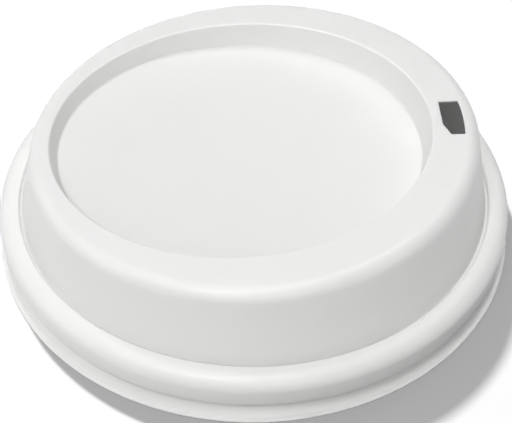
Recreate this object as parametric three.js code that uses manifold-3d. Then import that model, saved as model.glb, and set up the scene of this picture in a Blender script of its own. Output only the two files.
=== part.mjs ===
// Takeaway cup lid with a raised drinking ring, a sunken oval well and a press-on rim.
// Millimetres, +Z up. The origin is on the ground under the rim's centre.
// The drinking opening is towards +X, and XZ is the lid's mirror plane but for one cut corner.
import * as THREE from 'three';
import { mergeVertices } from 'three/addons/utils/BufferGeometryUtils.js';
import Module from 'manifold-3d';

// sheet
const sheet = 0.45; // wall thickness of the formed sheet
const facetCount = 64; // facets round the lid
const facetSag = 0.07; // how far a rounding's facets may lie off the true arc

// rim, which snaps over the rolled edge of a cup
const cupRimDiameter = 90; // outside of the cup's rolled edge
const rimClearance = 0.55; // room between the rolled edge and the bead, at the side
const beadTop = 8.9; // crest of the bead above the ground
const beadWidth = 3.65; // from the gutter's outer edge to the bead's side
const beadCrown = 2.3; // rounding of the bead's outer shoulder
const beadHeel = 0.8; // rounding of the bead's inner shoulder
const beadFoot = 3.55; // height where the bead turns back under
const beadTuck = 1.6; // rounding there
const snapDepth = 1.4; // how far the snap groove cuts in under the bead
const snapHeight = 2.15; // height of the snap groove
const snapRound = 0.6; // rounding in the groove
const lipReach = 0.8; // how far the lip stands out past the bead
const lipFlange = 0.7; // width of the flat edge that rests on the table
const lipRound = 0.3; // rounding where the lip turns flat

// gutter between the rim and the dome
const gutterWidth = 0.5;
const gutterDepth = 1.0; // below the bead's crest
const gutterRound = 0.35; // rounding of both its lower corners

// dome and drinking ring
const ringHeight = 21.2; // top of the drinking ring on the rim's axis
const ringIncline = THREE.MathUtils.degToRad(2.3); // it rises towards the opening
const wallTaper = THREE.MathUtils.degToRad(13.5); // lean of the dome's wall
const shoulderRound = 2.45; // rounding from the wall to the drinking ring

// well sunk in the dome
const wellLength = 66.4; // across its top, towards the opening
const wellBreadth = 62; // across its top, the other way
const wellShift = -2.35; // its centre lies away from the opening
const wellFloor = 16.7; // height of the floor's edge
const wellLean = 1; // how much smaller the foot of its wall is, all round
const wellDish = 1.5; // the floor sinks this much to its middle
const wellBrow = 0.65; // rounding of its top edge
const wellCove = 0.9; // rounding at the foot of its wall
const dishRings = 3; // steps that shape the dished floor

// drinking opening, a slot with one cut corner
const sipInset = 1.8; // from the well's edge to the slot
const sipReach = 3.4; // slot's width, along X
const sipSpan = 9; // slot's length, along Y
const sipSkew = 0.2; // its middle lies this far off the mirror plane
const sipCutLength = 2.8; // cut corner, along Y
const sipCutWidth = 1.1; // cut corner, along X
const sipFacets = 4; // facets of its curved outer edge

const weldDistance = 1e-4; // points closer than this are one
const plastic = { color: 0xf1f1ee, roughness: 0.42, metalness: 0 };

// sizes that follow
const beadRadius = cupRimDiameter / 2 + rimClearance + sheet;
const gutterOuter = beadRadius - beadWidth;
const wallFoot = gutterOuter - gutterWidth;
const gutterFloor = beadTop - gutterDepth;
const lipRadius = beadRadius + lipReach;
const inclineSlope = Math.tan(ringIncline);
const wellOval = wellBreadth / wellLength;

// radius of the dome's wall, carried up to the drinking ring's height
function shoulderRadius() {
  return wallFoot - (ringHeight - gutterFloor) * Math.tan(wallTaper);
}

// a corner of the section: an oval ring about (shift, 0), level or in the ring's inclined plane
function ring(radius, height, round, { shift = 0, oval = 1, slope = 0 } = {}) {
  return (angle) => {
    const x = shift + radius * Math.cos(angle);
    const y = radius * oval * Math.sin(angle);
    return { point: new THREE.Vector3(x, y, height + slope * x), round };
  };
}

const well = { shift: wellShift, oval: wellOval };
const inclined = { slope: inclineSlope };
const footRadius = wellLength / 2 - wellLean;

// rings of the shallow dish, from its middle outwards
const dish = Array.from({ length: dishRings }, (_, i) => {
  const share = (i + 1) / (dishRings + 1);
  return ring(footRadius * share, wellFloor - wellDish * (1 - share * share), 0, well);
});

// corners of the upper skin, from the floor's middle out to the lip
const corners = [
  ring(0, wellFloor - wellDish, 0, well),
  ...dish,
  ring(footRadius, wellFloor, wellCove, well),
  ring(wellLength / 2, ringHeight, wellBrow, { ...well, ...inclined }),
  ring(shoulderRadius(), ringHeight, shoulderRound, inclined),
  ring(wallFoot, gutterFloor, gutterRound),
  ring(gutterOuter, gutterFloor, gutterRound),
  ring(gutterOuter, beadTop, beadHeel),
  ring(beadRadius, beadTop, beadCrown),
  ring(beadRadius, beadFoot, beadTuck),
  ring(beadRadius - snapDepth, snapHeight, snapRound),
  ring(lipRadius - lipFlange, sheet, lipRound),
  ring(lipRadius, sheet, 0),
];

// number of facets in each corner's rounding, the same all the way round
const facets = corners.map((corner, i) => {
  if (corner(0).round === 0) return 0;
  const [before, here, after] = [i - 1, i, i + 1].map((k) => corners[k](0).point);
  const turn = here.clone().sub(before).angleTo(after.clone().sub(here));
  const step = 2 * Math.acos(Math.max(0, 1 - facetSag / corner(0).round));
  return Math.max(2, Math.ceil(turn / step));
});

// the section at one angle: points and directions of travel, with its corners rounded
function section(angle) {
  const path = [];
  corners.forEach((corner, i) => {
    const { point, round } = corner(angle);
    const into = corners[Math.max(i - 1, 0)](angle).point;
    const out = corners[Math.min(i + 1, corners.length - 1)](angle).point;
    const first = point.clone().sub(into).normalize();
    const last = out.clone().sub(point).normalize();
    if (round === 0) {
      path.push({ point, along: first.clone().add(last).normalize() });
      return;
    }
    const turn = first.angleTo(last);
    const start = point.clone().addScaledVector(first, -round * Math.tan(turn / 2));
    const side = last.clone().addScaledVector(first, -last.dot(first)).normalize();
    for (let k = 0; k <= facets[i]; k += 1) {
      const bend = (turn * k) / facets[i];
      path.push({
        point: start
          .clone()
          .addScaledVector(first, round * Math.sin(bend))
          .addScaledVector(side, round * (1 - Math.cos(bend))),
        along: first.clone().multiplyScalar(Math.cos(bend)).addScaledVector(side, Math.sin(bend)),
      });
    }
  });
  return path;
}

// upper skin and the lower skin, one sheet's thickness beneath it
function skins(angle) {
  const nudge = 1e-4; // a step round the lid, in radians, that gives the way round
  const here = section(angle);
  const ahead = section(angle + nudge);
  const behind = section(angle - nudge);
  const upper = here.map((entry) => entry.point);
  const lower = here.map(({ point, along }, k) => {
    const round = ahead[k].point.clone().sub(behind[k].point);
    const outward = along.clone().cross(round).normalize();
    if (k === 0) outward.set(0, 0, 1);
    return point.clone().addScaledVector(outward, -sheet);
  });
  return [upper, lower];
}

// closed shell: the upper skin, the lip's edge and the lower skin back to the middle
function shellGeometry() {
  const rows = Array.from({ length: facetCount }, (_, j) => {
    const [upper, lower] = skins((2 * Math.PI * j) / facetCount);
    return [...upper.slice(1), ...lower.slice(1).reverse()];
  });
  const [upper, lower] = skins(0);
  const perRow = rows[0].length;
  const points = [upper[0], lower[0], ...rows.flat()];
  const at = (j, k) => 2 + (j % facetCount) * perRow + k;
  const index = [];
  for (let j = 0; j < facetCount; j += 1) {
    index.push(0, at(j, 0), at(j + 1, 0));
    index.push(1, at(j + 1, perRow - 1), at(j, perRow - 1));
    for (let k = 0; k + 1 < perRow; k += 1) {
      index.push(at(j, k), at(j, k + 1), at(j + 1, k + 1));
      index.push(at(j, k), at(j + 1, k + 1), at(j + 1, k));
    }
  }
  const geometry = new THREE.BufferGeometry().setFromPoints(points);
  geometry.setIndex(index);
  return geometry;
}

// upright prism that cuts the drinking opening
function sipCutter() {
  const inner = wellShift + wellLength / 2 + sipInset;
  const outer = inner + sipReach;
  const near = sipSkew - sipSpan / 2;
  const far = sipSkew + sipSpan / 2;
  // the outer edge follows the rim, so it bows out between its ends
  const bow = Math.hypot(outer, sipSpan / 2);
  const bowEnd = Math.asin(sipSpan / 2 / bow);
  const outline = new THREE.Shape();
  outline.moveTo(inner, far);
  outline.lineTo(inner, near + sipCutLength);
  outline.lineTo(inner + sipCutWidth, near);
  outline.lineTo(outer, near);
  outline.absarc(0, sipSkew, bow, -bowEnd, bowEnd, false);
  outline.closePath();
  const depth = ringHeight - wellFloor;
  const prism = new THREE.ExtrudeGeometry(outline, {
    depth: 2 * depth,
    bevelEnabled: false,
    curveSegments: sipFacets,
  });
  return prism.translate(0, 0, ringHeight + inclineSlope * inner - depth);
}

const wasm = await Module();
wasm.setup();

function toSolid(geometry) {
  geometry.deleteAttribute('normal');
  geometry.deleteAttribute('uv');
  const merged = mergeVertices(geometry, weldDistance);
  const mesh = new wasm.Mesh({
    numProp: 3,
    vertProperties: merged.attributes.position.array,
    triVerts: Uint32Array.from(merged.index.array),
  });
  return new wasm.Manifold(mesh);
}

function toGeometry(solid) {
  const { vertProperties, triVerts } = solid.getMesh();
  const geometry = new THREE.BufferGeometry();
  geometry.setAttribute('position', new THREE.BufferAttribute(vertProperties, 3));
  geometry.setIndex(new THREE.BufferAttribute(triVerts, 1));
  geometry.computeVertexNormals();
  return geometry;
}

const shell = toSolid(shellGeometry()).subtract(toSolid(sipCutter()));
const lid = new THREE.Mesh(toGeometry(shell), new THREE.MeshStandardMaterial(plastic));
lid.name = 'lid';

const part = new THREE.Group();
part.add(lid);

export default part;
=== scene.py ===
# Takeaway cup lid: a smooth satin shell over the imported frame, standing on a pale table.
import math

import bmesh
import bpy
from mathutils import Matrix, Vector


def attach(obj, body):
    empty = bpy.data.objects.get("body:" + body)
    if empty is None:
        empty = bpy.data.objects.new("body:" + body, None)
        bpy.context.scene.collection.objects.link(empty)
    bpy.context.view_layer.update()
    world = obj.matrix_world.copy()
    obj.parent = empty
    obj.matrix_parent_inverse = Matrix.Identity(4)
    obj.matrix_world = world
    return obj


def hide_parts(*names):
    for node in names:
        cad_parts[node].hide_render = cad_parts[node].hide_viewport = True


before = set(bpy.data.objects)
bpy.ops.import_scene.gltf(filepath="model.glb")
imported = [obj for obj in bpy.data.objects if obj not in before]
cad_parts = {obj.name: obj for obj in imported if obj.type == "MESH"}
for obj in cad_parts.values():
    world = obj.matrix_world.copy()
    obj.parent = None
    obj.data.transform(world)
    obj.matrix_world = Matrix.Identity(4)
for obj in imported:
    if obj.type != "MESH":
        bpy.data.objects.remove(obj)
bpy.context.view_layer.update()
scene = bpy.context.scene
mm = 0.001


def linked(obj):
    scene.collection.objects.link(obj)
    return obj


# nodes are added to a tree with their inputs fed from other nodes or from plain values
def feed(tree, socket, source):
    if isinstance(source, bpy.types.NodeSocket):
        tree.links.new(source, socket)
    else:
        socket.default_value = source


def addNode(tree, kind, inputs=None, **settings):
    node = tree.nodes.new(kind)
    for name, value in settings.items():
        setattr(node, name, value)
    for name, source in (inputs or {}).items():
        feed(tree, node.inputs[name], source)
    return node


def maths(tree, operation, *terms):
    node = addNode(tree, "ShaderNodeMath", operation=operation)
    for socket, term in zip(node.inputs, terms):
        feed(tree, socket, term)
    return node.outputs[0]


def vectors(tree, operation, *terms):
    node = addNode(tree, "ShaderNodeVectorMath", operation=operation)
    for socket, term in zip(node.inputs, terms):
        feed(tree, socket, term)
    return node.outputs[0]


def scaled(tree, vector, factor):
    node = addNode(tree, "ShaderNodeVectorMath", operation="SCALE")
    feed(tree, node.inputs[0], vector)
    feed(tree, node.inputs["Scale"], factor)
    return node.outputs[0]


# 1 for a ray that carries the background to the eye: straight, mirrored or through something clear
def seenRay(tree):
    path = addNode(tree, "ShaderNodeLightPath").outputs
    mirrored = maths(tree, "MAXIMUM", path["Is Glossy Ray"], path["Is Transmission Ray"])
    return maths(tree, "MAXIMUM", path["Is Camera Ray"], mirrored)


# satin white plastic, faintly uneven in tone, gloss and surface as a formed sheet is
plasticLook = {
    "color": (0.90, 0.90, 0.885),
    "shade": (0.87, 0.87, 0.855),
    "roughness": (0.33, 0.41),
    "cloudSize": 18 * mm,
    "cloudDetail": 3.0,
    "grainSize": 0.35 * mm,
    "rippleSize": 7 * mm,
    "grainDepth": 0.004 * mm,
    "rippleDepth": 0.010 * mm,
    "glossSpread": (0.3, 0.7),  # noise values that give the least and the most roughness
    "glossDetail": 4.0,
    "rippleDetail": 1.0,
    "grainDetail": 2.0,
    "ior": 1.5,
    "glow": 1.0,  # how much light goes through the thin sheet
    "glowDepth": 0.8 * mm,
}


def makePlastic(look):
    material = bpy.data.materials.new("whitePlastic")
    material.use_nodes = True
    tree = material.node_tree
    shader = tree.nodes["Principled BSDF"]
    spot = addNode(tree, "ShaderNodeTexCoord").outputs["Object"]

    def noise(size, detail):
        return addNode(tree, "ShaderNodeTexNoise", {
            "Vector": spot, "Scale": 1 / size, "Detail": detail, "Roughness": 0.5,
        }).outputs["Fac"]

    cloud = noise(look["cloudSize"], look["cloudDetail"])
    tone = addNode(tree, "ShaderNodeMix", data_type="RGBA")
    feed(tree, tone.inputs["Factor"], cloud)
    feed(tree, tone.inputs[6], (*look["shade"], 1))
    feed(tree, tone.inputs[7], (*look["color"], 1))
    feed(tree, shader.inputs["Base Color"], tone.outputs[2])
    gloss = addNode(tree, "ShaderNodeMapRange", {
        "Value": noise(look["rippleSize"], look["glossDetail"]),
        "From Min": look["glossSpread"][0], "From Max": look["glossSpread"][1],
        "To Min": look["roughness"][0], "To Max": look["roughness"][1],
    })
    feed(tree, shader.inputs["Roughness"], gloss.outputs["Result"])
    ripple = addNode(tree, "ShaderNodeBump", {
        "Height": noise(look["rippleSize"], look["rippleDetail"]),
        "Distance": look["rippleDepth"], "Strength": 1.0,
    })
    grain = addNode(tree, "ShaderNodeBump", {
        "Height": noise(look["grainSize"], look["grainDetail"]),
        "Distance": look["grainDepth"], "Strength": 1.0,
        "Normal": ripple.outputs["Normal"],
    })
    feed(tree, shader.inputs["Normal"], grain.outputs["Normal"])
    shader.inputs["IOR"].default_value = look["ior"]
    shader.inputs["Subsurface Weight"].default_value = look["glow"]
    shader.inputs["Subsurface Radius"].default_value = (1, 1, 1)
    shader.inputs["Subsurface Scale"].default_value = look["glowDepth"]
    return material


plastic = makePlastic(plasticLook)
print("plastic made")


# the lid's sizes in millimetres and degrees
lidSize = {
    "sheet": 0.45,
    "cupRim": 90,  # the cup's rolled edge, across
    "rimClearance": 0.55,
    "beadTop": 8.9,
    "beadWidth": 3.65,
    "beadCrown": 2.3,
    "beadHeel": 0.5,
    "beadFoot": 3.55,
    "beadTuck": 1.6,
    "snapDepth": 1.4,
    "snapHeight": 2.15,
    "snapRound": 0.6,
    "lipReach": 0.8,
    "lipFlange": 0.7,
    "lipRound": 0.3,
    "gutterWidth": 0.5,
    "gutterDepth": 1.0,
    "gutterRound": 0.15,
    "ringHeight": 21.2,
    "ringIncline": 2.3,
    "wallTaper": 13.5,
    "shoulderRound": 2.45,
    "wellLength": 66.4,
    "wellBreadth": 62,
    "wellShift": -2.35,
    "wellFloor": 16.7,
    "wellLean": 1,
    "wellDish": 1.5,
    "wellBrow": 0.35,
    "wellCove": 0.4,
    "dishRings": 14,
    "columns": 320,  # sections round the lid
    "arcSteps": 8,  # faces across each rounding
    "edgeSteps": 6,  # faces round the lip's edge
    "weld": 0.002,  # points closer than this are one
}


# the section's corners from the floor's middle out to the lip: reach, height, rounding,
# then how its ring is moved, flattened and sloped
def lidCorners(size):
    slope = math.tan(math.radians(size["ringIncline"]))
    bead = size["cupRim"] / 2 + size["rimClearance"] + size["sheet"]
    gutterOuter = bead - size["beadWidth"]
    wallFoot = gutterOuter - size["gutterWidth"]
    gutterFloor = size["beadTop"] - size["gutterDepth"]
    rise = size["ringHeight"] - gutterFloor
    shoulder = wallFoot - rise * math.tan(math.radians(size["wallTaper"]))
    lip = bead + size["lipReach"]
    foot = size["wellLength"] / 2 - size["wellLean"]
    oval = size["wellBreadth"] / size["wellLength"]
    shift = size["wellShift"]
    corners = []
    for ring in range(size["dishRings"]):
        share = ring / size["dishRings"]
        depth = size["wellDish"] * (1 - share * share)
        corners.append((foot * share, size["wellFloor"] - depth, 0, shift, oval, 0))
    corners += [
        (foot, size["wellFloor"], size["wellCove"], shift, oval, 0),
        (size["wellLength"] / 2, size["ringHeight"], size["wellBrow"], shift, oval, slope),
        (shoulder, size["ringHeight"], size["shoulderRound"], 0, 1, slope),
        (wallFoot, gutterFloor, size["gutterRound"], 0, 1, 0),
        (gutterOuter, gutterFloor, size["gutterRound"], 0, 1, 0),
        (gutterOuter, size["beadTop"], size["beadHeel"], 0, 1, 0),
        (bead, size["beadTop"], size["beadCrown"], 0, 1, 0),
        (bead, size["beadFoot"], size["beadTuck"], 0, 1, 0),
        (bead - size["snapDepth"], size["snapHeight"], size["snapRound"], 0, 1, 0),
        (lip - size["lipFlange"], size["sheet"], size["lipRound"], 0, 1, 0),
        (lip - size["sheet"] / 2, size["sheet"], 0, 0, 1, 0),
    ]
    return corners


# the section drawn as a line, with each corner's rounding, shift, flattening and slope kept on it
def sectionLine(corners):
    mesh = bpy.data.meshes.new("lidSection")
    points = [(reach * mm, 0, height * mm) for reach, height, *_ in corners]
    mesh.from_pydata(points, [(i, i + 1) for i in range(len(points) - 1)], [])
    kept = (("rounding", mm), ("shift", mm), ("oval", 1), ("slope", 1))
    for column, (name, unit) in enumerate(kept, start=2):
        values = [corner[column] * unit for corner in corners]
        mesh.attributes.new(name, "FLOAT", "POINT").data.foreach_set("value", values)
    return linked(bpy.data.objects.new("lidSection", mesh))


# sweeps the section round the lid, gives it the sheet's thickness with a round edge, cuts the slot
def lidTree():
    tree = bpy.data.node_groups.new("formedLid", "GeometryNodeTree")
    sockets = {
        "Section": "NodeSocketGeometry",
        "Columns": "NodeSocketInt",
        "Arc Steps": "NodeSocketInt",
        "Edge Steps": "NodeSocketInt",
        "Sheet": "NodeSocketFloat",
        "Weld": "NodeSocketFloat",
        "Slot Cutter": "NodeSocketObject",
        "Plastic": "NodeSocketMaterial",
    }
    for name, kind in sockets.items():
        tree.interface.new_socket(name, in_out="INPUT", socket_type=kind)
    tree.interface.new_socket("Lid", in_out="OUTPUT", socket_type="NodeSocketGeometry")
    given = addNode(tree, "NodeGroupInput").outputs

    def kept(name):
        node = addNode(tree, "GeometryNodeInputNamedAttribute", {"Name": name}, data_type="FLOAT")
        return node.outputs[0]

    # one copy of the section for each column, turned to its place round the lid
    line = addNode(tree, "GeometryNodeMeshToCurve", {"Mesh": given["Section"]})
    copies = addNode(tree, "GeometryNodeDuplicateElements", {
        "Geometry": line.outputs[0], "Amount": given["Columns"],
    }, domain="SPLINE")
    share = maths(tree, "DIVIDE", copies.outputs["Duplicate Index"], given["Columns"])
    angle = maths(tree, "MULTIPLY", share, 2 * math.pi)
    corner = addNode(tree, "ShaderNodeSeparateXYZ", {
        "Vector": addNode(tree, "GeometryNodeInputPosition").outputs[0],
    }).outputs
    x = maths(tree, "MULTIPLY_ADD", corner["X"], maths(tree, "COSINE", angle), kept("shift"))
    wide = maths(tree, "MULTIPLY", corner["X"], kept("oval"))
    y = maths(tree, "MULTIPLY", wide, maths(tree, "SINE", angle))
    z = maths(tree, "MULTIPLY_ADD", x, kept("slope"), corner["Z"])
    place = addNode(tree, "ShaderNodeCombineXYZ", {"X": x, "Y": y, "Z": z})
    turned = addNode(tree, "GeometryNodeSetPosition", {
        "Geometry": copies.outputs["Geometry"], "Position": place.outputs[0],
    })
    sections = addNode(tree, "GeometryNodeFilletCurve", {
        "Curve": turned.outputs[0], "Count": given["Arc Steps"], "Radius": kept("rounding"),
    }, mode="POLY").outputs[0]

    # a grid: along it the columns, across it the upper skin, the lip's edge and the lower skin
    total = addNode(tree, "GeometryNodeAttributeDomainSize", {
        "Geometry": sections,
    }, component="CURVE").outputs["Point Count"]
    rows = maths(tree, "DIVIDE", total, given["Columns"])
    lastRow = maths(tree, "SUBTRACT", rows, 1.0)
    depth = maths(tree, "ADD", maths(tree, "MULTIPLY", lastRow, 2.0), given["Edge Steps"])
    grid = addNode(tree, "GeometryNodeMeshGrid", {
        "Vertices X": maths(tree, "ADD", given["Columns"], 1.0),
        "Vertices Y": maths(tree, "ADD", depth, 1.0),
    })
    index = addNode(tree, "GeometryNodeInputIndex").outputs[0]
    perColumn = maths(tree, "ADD", depth, 1.0)
    column = maths(tree, "FLOOR", maths(tree, "DIVIDE", index, perColumn))
    row = maths(tree, "MODULO", index, perColumn)
    fromEnd = maths(tree, "MINIMUM", row, maths(tree, "SUBTRACT", depth, row))
    nearest = maths(tree, "MINIMUM", fromEnd, lastRow)
    spot = maths(tree, "ADD", maths(tree, "MULTIPLY", column, rows), nearest)

    def sample(value, offset=0.0):
        raised = maths(tree, "ADD", maths(tree, "ADD", spot, total), offset)
        return addNode(tree, "GeometryNodeSampleIndex", {
            "Geometry": sections, "Value": value, "Index": maths(tree, "MODULO", raised, total),
        }, data_type="FLOAT_VECTOR").outputs[0]

    position = addNode(tree, "GeometryNodeInputPosition").outputs[0]
    point = sample(position)
    along = sample(addNode(tree, "GeometryNodeInputTangent").outputs[0])
    ahead = sample(position, rows)
    behind = sample(position, maths(tree, "MULTIPLY", rows, -1.0))
    around = vectors(tree, "SUBTRACT", ahead, behind)
    outward = vectors(tree, "NORMALIZE", vectors(tree, "CROSS_PRODUCT", along, around))
    middle = addNode(tree, "FunctionNodeCompare", {
        0: nearest, 1: 0.5,  # row 0 is the middle of the well
    }, data_type="FLOAT", operation="LESS_THAN")
    normal = addNode(tree, "GeometryNodeSwitch", {
        "Switch": middle.outputs[0], "False": outward, "True": (0, 0, 1),
    }, input_type="VECTOR").outputs[0]
    past = maths(tree, "DIVIDE", maths(tree, "SUBTRACT", row, lastRow), given["Edge Steps"])
    within = addNode(tree, "ShaderNodeClamp", {"Value": past}).outputs[0]
    turn = maths(tree, "MULTIPLY", within, math.pi)
    half = maths(tree, "MULTIPLY", given["Sheet"], 0.5)
    sink = maths(tree, "MULTIPLY", half, maths(tree, "SUBTRACT", maths(tree, "COSINE", turn), 1.0))
    bulge = maths(tree, "MULTIPLY", half, maths(tree, "SINE", turn))
    skin = vectors(tree, "ADD", point, scaled(tree, normal, sink))
    skin = vectors(tree, "ADD", skin, scaled(tree, along, bulge))
    shell = addNode(tree, "GeometryNodeSetPosition", {
        "Geometry": grid.outputs["Mesh"], "Position": skin,
    })
    shell = addNode(tree, "GeometryNodeFlipFaces", {"Mesh": shell.outputs[0]})
    shell = addNode(tree, "GeometryNodeMergeByDistance", {
        "Geometry": shell.outputs[0], "Distance": given["Weld"],
    })

    cutter = addNode(tree, "GeometryNodeObjectInfo", {"Object": given["Slot Cutter"]})
    cut = addNode(tree, "GeometryNodeMeshBoolean", operation="DIFFERENCE", solver="EXACT")
    tree.links.new(shell.outputs[0], cut.inputs["Mesh 1"])
    tree.links.new(cutter.outputs["Geometry"], cut.inputs["Mesh 2"])
    smooth = addNode(tree, "GeometryNodeSetShadeSmooth", {"Geometry": cut.outputs["Mesh"]})
    real = addNode(tree, "GeometryNodeRealizeInstances", {"Geometry": smooth.outputs[0]})
    dressed = addNode(tree, "GeometryNodeSetMaterial", {
        "Geometry": real.outputs[0], "Material": given["Plastic"],
    })
    addNode(tree, "NodeGroupOutput", {"Lid": dressed.outputs[0]})
    return tree


# the drinking slot, in millimetres: straight sides, one cut corner and an outer edge that
# follows the rim
slotSize = {
    "inset": 1.8,  # from the well's edge
    "reach": 3.4,
    "span": 9,
    "skew": 0.2,
    "cutLength": 2.8,
    "cutWidth": 1.1,
    "bowSteps": 6,
    "cornerRound": 0.2,
    "cornerStep": 20,  # degrees from one point of a rounded corner to the next
    "edgeRound": 0.14,  # rounding of the sheet's edge, above and below
    "edgeSteps": 4,
    "spill": 0.02,  # how far past the sheet the rounding is carried on
    "cutHeight": 3,  # how far the cutter reaches past the sheet, in sheets
}


def slotOutline(slot, lid):
    inner = lid["wellShift"] + lid["wellLength"] / 2 + slot["inset"]
    outer = inner + slot["reach"]
    near = slot["skew"] - slot["span"] / 2
    far = slot["skew"] + slot["span"] / 2
    bow = math.hypot(outer, slot["span"] / 2)
    end = math.asin(slot["span"] / 2 / bow)
    points = [(inner, far), (inner, near + slot["cutLength"]), (inner + slot["cutWidth"], near)]
    for step in range(slot["bowSteps"] + 1):
        angle = end * (2 * step / slot["bowSteps"] - 1)
        points.append((bow * math.cos(angle), slot["skew"] + bow * math.sin(angle)))
    return [Vector(point) for point in points]


# the outline with its corners rounded, grown by a margin all round
def grownOutline(points, corner, step, margin):
    grown = []
    count = len(points)
    for i, here in enumerate(points):
        into = (here - points[i - 1]).normalized()
        out = (points[(i + 1) % count] - here).normalized()
        before = Vector((into.y, -into.x))
        after = Vector((out.y, -out.x))
        centre = here - (before + after) * corner / (1 + before.dot(after))
        bend = before.angle_signed(after)
        steps = max(1, math.ceil(abs(bend) / math.radians(step)))
        for k in range(steps + 1):
            side = Matrix.Rotation(-bend * k / steps, 2) @ before
            grown.append(centre + side * (corner + margin))
    return grown


def makeSlotCutter(slot, lid):
    points = slotOutline(slot, lid)
    slope = math.tan(math.radians(lid["ringIncline"]))
    edge = slot["edgeRound"]
    spill = slot["spill"]
    levels = []
    for k in range(1, slot["edgeSteps"] + 1):
        turn = k / slot["edgeSteps"] * math.pi / 2
        levels.append((edge * (1 - math.sin(turn)), -edge * (1 - math.cos(turn))))
    reach = edge + (edge - levels[0][0]) / -levels[0][1] * spill
    top = [(reach, lid["sheet"] * slot["cutHeight"]), (reach, spill), *levels]
    bottom = [(margin, -lid["sheet"] - height) for margin, height in reversed(top)]
    build = bmesh.new()
    loops = []
    for margin, height in top + bottom:
        ring = grownOutline(points, slot["cornerRound"], slot["cornerStep"], margin)
        loops.append([build.verts.new((
            p.x * mm, p.y * mm, (lid["ringHeight"] + slope * p.x + height) * mm,
        )) for p in ring])
    for upper, lower in zip(loops, loops[1:]):
        for i in range(len(upper)):
            build.faces.new((upper[i - 1], upper[i], lower[i], lower[i - 1]))
    build.faces.new(loops[0])
    build.faces.new(loops[-1])
    bmesh.ops.recalc_face_normals(build, faces=build.faces)
    mesh = bpy.data.meshes.new("slotCutter")
    build.to_mesh(mesh)
    build.free()
    return linked(bpy.data.objects.new("slotCutter", mesh))


def makeLid(size, slot):
    source = sectionLine(lidCorners(size))
    cutter = makeSlotCutter(slot, size)
    modifier = source.modifiers.new("formed", "NODES")
    modifier.node_group = lidTree()
    settings = {
        "Columns": size["columns"], "Arc Steps": size["arcSteps"], "Edge Steps": size["edgeSteps"],
        "Sheet": size["sheet"] * mm, "Weld": size["weld"] * mm,
        "Slot Cutter": cutter, "Plastic": plastic,
    }
    for item in modifier.node_group.interface.items_tree:
        if item.in_out == "INPUT" and item.name in settings:
            modifier[item.identifier] = settings[item.name]
    evaluated = source.evaluated_get(bpy.context.evaluated_depsgraph_get())
    mesh = bpy.data.meshes.new_from_object(evaluated)
    mesh.name = "lidShell"
    mesh.materials.clear()
    mesh.materials.append(plastic)
    for leftover in (source, cutter):
        bpy.data.objects.remove(leftover)
    lid = linked(bpy.data.objects.new("lid_shell", mesh))
    normals = lid.modifiers.new("evenShading", "WEIGHTED_NORMAL")
    normals.keep_sharp = True
    return lid


lid = makeLid(lidSize, slotSize)
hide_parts("lid")
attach(lid, "root")
print("lid made:", len(lid.data.polygons), "faces")


# the table the lid stands on: white where it is seen, with the lid's shadow
floorLook = {
    "color": (0.17, 0.17, 0.17),
    "roughness": 0.9,
    "seenGlow": 0.25,  # near the lid, where it leaves the shadow its tone
    "farGlow": 1.0,
    "nearReach": 0.12,  # metres from the lid's middle, where the glow starts to grow
    "farReach": 0.7,
    "size": 3.0,
}


def makeFloor(look):
    half = look["size"] / 2
    mesh = bpy.data.meshes.new("floor")
    corners = [(-half, -half, 0), (half, -half, 0), (half, half, 0), (-half, half, 0)]
    mesh.from_pydata(corners, [], [(0, 1, 2, 3)])
    material = bpy.data.materials.new("paleFloor")
    material.use_nodes = True
    tree = material.node_tree
    shader = tree.nodes["Principled BSDF"]
    shader.inputs["Base Color"].default_value = (*look["color"], 1)
    shader.inputs["Roughness"].default_value = look["roughness"]
    shader.inputs["Specular IOR Level"].default_value = 0
    shader.inputs["Emission Color"].default_value = (1, 1, 1, 1)
    spot = addNode(tree, "ShaderNodeTexCoord").outputs["Object"]
    away = addNode(tree, "ShaderNodeVectorMath", {0: spot}, operation="LENGTH").outputs["Value"]
    glow = addNode(tree, "ShaderNodeMapRange", {
        "Value": away, "From Min": look["nearReach"], "From Max": look["farReach"],
        "To Min": look["seenGlow"], "To Max": look["farGlow"],
    }, interpolation_type="SMOOTHSTEP").outputs["Result"]
    feed(tree, shader.inputs["Emission Strength"], maths(tree, "MULTIPLY", seenRay(tree), glow))
    mesh.materials.append(material)
    return linked(bpy.data.objects.new("floor", mesh))


floor = makeFloor(floorLook)


# even grey light from all round, white where it is seen
worldLook = {"strength": 0.1, "seenStrength": 1.0}


def makeWorld(look):
    world = bpy.data.worlds.new("studio")
    world.use_nodes = True
    tree = world.node_tree
    back = tree.nodes["Background"]
    back.inputs["Color"].default_value = (1, 1, 1, 1)
    strength = addNode(tree, "ShaderNodeMapRange", {
        "Value": seenRay(tree), "To Min": look["strength"], "To Max": look["seenStrength"],
    })
    feed(tree, back.inputs["Strength"], strength.outputs["Result"])
    scene.world = world


makeWorld(worldLook)


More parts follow.
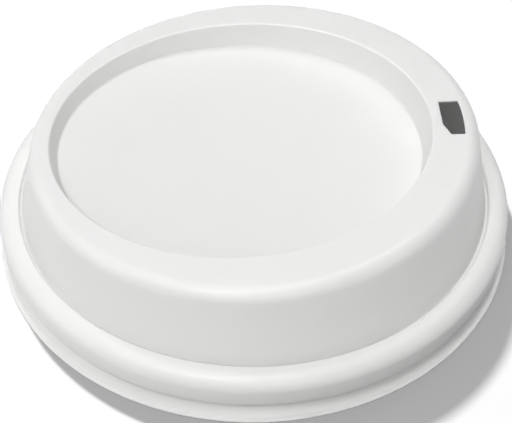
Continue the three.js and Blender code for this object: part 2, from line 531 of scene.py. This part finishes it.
# lamps: the way to each from the lid in degrees, its distance and size in metres and its
# power in watts
lamps = {
    "overhead": {"azimuth": 270, "elevation": 80, "distance": 0.9, "size": 0.12, "power": 1.35},
    "frontLeft": {"azimuth": 240, "elevation": 62, "distance": 0.9, "size": 0.3, "power": 2.45},
    "backLeft": {"azimuth": 120, "elevation": 62, "distance": 0.9, "size": 0.35, "power": 1.15},
    "backRight": {"azimuth": 60, "elevation": 62, "distance": 0.9, "size": 0.35, "power": 1.25},
    "left": {"azimuth": 180, "elevation": 30, "distance": 0.9, "size": 0.8, "power": 1.35},
    "front": {"azimuth": 270, "elevation": 30, "distance": 0.9, "size": 0.6, "power": 1.75},
    "table": {
        "azimuth": 116, "elevation": 53.5, "distance": 1.5, "size": 0.11, "power": 99,
        "skipsLid": True,  # it draws the lid's shadow on the table, and doesn't light the lid
    },
}


def makeLamp(name, lamp):
    light = bpy.data.lights.new(name, "AREA")
    light.shape = "DISK"
    light.size = lamp["size"]
    light.energy = lamp["power"]
    azimuth, elevation = math.radians(lamp["azimuth"]), math.radians(lamp["elevation"])
    flat = math.cos(elevation)
    way = Vector((flat * math.cos(azimuth), flat * math.sin(azimuth), math.sin(elevation)))
    obj = linked(bpy.data.objects.new(name, light))
    turn = way.to_track_quat("Z", "Y").to_matrix().to_4x4()
    obj.matrix_world = Matrix.Translation(way * lamp["distance"]) @ turn
    if lamp.get("skipsLid"):
        unlit = bpy.data.collections.new("unlit")
        unlit.objects.link(lid)
        unlit.collection_objects[0].light_linking.link_state = "EXCLUDE"
        obj.light_linking.receiver_collection = unlit


for name, lamp in lamps.items():
    makeLamp(name, lamp)
print("lamps set")


# camera: where the photograph was taken from, in millimetres and degrees
cameraView = {
    "place": (0, -134.115, 132.927),
    "pan": 0.171,
    "pitch": 44.735,
    "roll": -0.254,
    "lens": 70.3125,
    "sensor": 36,
    "nearest": 10,  # nothing closer than this is drawn
}


def makeCamera(view):
    camera = bpy.data.cameras.new("camera")
    camera.lens = view["lens"]
    camera.sensor_width = view["sensor"]
    camera.sensor_fit = "HORIZONTAL"
    camera.clip_start = view["nearest"] * mm
    obj = linked(bpy.data.objects.new("camera", camera))
    turn = (
        Matrix.Rotation(math.radians(-view["pan"]), 4, "Z")
        @ Matrix.Rotation(math.radians(90 - view["pitch"]), 4, "X")
        @ Matrix.Rotation(math.radians(view["roll"]), 4, "Z")
    )
    obj.matrix_world = Matrix.Translation(Vector(view["place"]) * mm) @ turn
    scene.camera = obj


makeCamera(cameraView)
print("camera set")
scene.view_settings.view_transform = "Standard"
